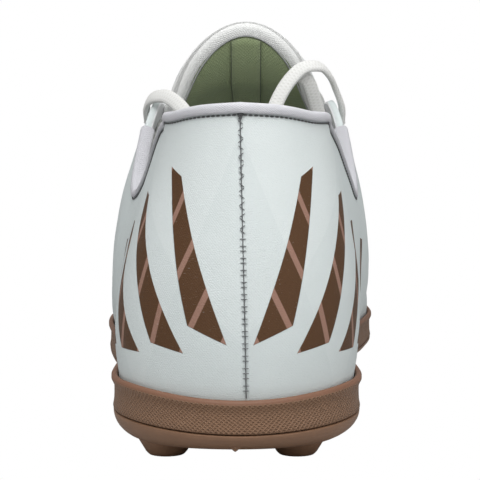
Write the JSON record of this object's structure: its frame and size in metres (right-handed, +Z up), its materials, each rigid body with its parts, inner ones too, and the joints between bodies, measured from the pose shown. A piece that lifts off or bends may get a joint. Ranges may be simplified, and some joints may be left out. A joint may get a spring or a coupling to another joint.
{
  "type": "football shoe",
  "caption": "Low lace-up football shoe for artificial turf, left foot, with a hollow fabric upper and a lugged rubber sole.",
  "frame": {"origin": "middle of the shoe's box, on the floor that its lugs stand on", "axes": "+Y from the heel to the toe, +X towards the medial side, +Z up"},
  "size_m": [0.0912, 0.2696, 0.11],
  "materials": {
    "upper_skin": "coated woven, satin",
    "binding_tape": "matte",
    "tongue_lining": "soft matte",
    "insole_cloth": "matte",
    "gum_rubber": "satin",
    "lace_cotton": "woven matte",
    "lace_tip_film": "gloss"
  },
  "bodies": {
    "root": {"upper": "upper_skin", "collar_binding": "binding_tape", "tongue": "tongue_lining", "insole": "insole_cloth", "midsole": "gum_rubber", "outsole": "gum_rubber", "lace_bar": "lace_cotton", "lace_crossing_1": "lace_cotton", "lace_crossing_2": "lace_cotton", "lace_crossing_3": "lace_cotton", "lace_crossing_4": "lace_cotton", "lace_crossing_5": "lace_cotton", "lace_end_lateral": "lace_cotton", "lace_end_medial": "lace_cotton", "lace_tip_lateral": "lace_tip_film", "lace_tip_medial": "lace_tip_film"}
  },
  "joints": []
}
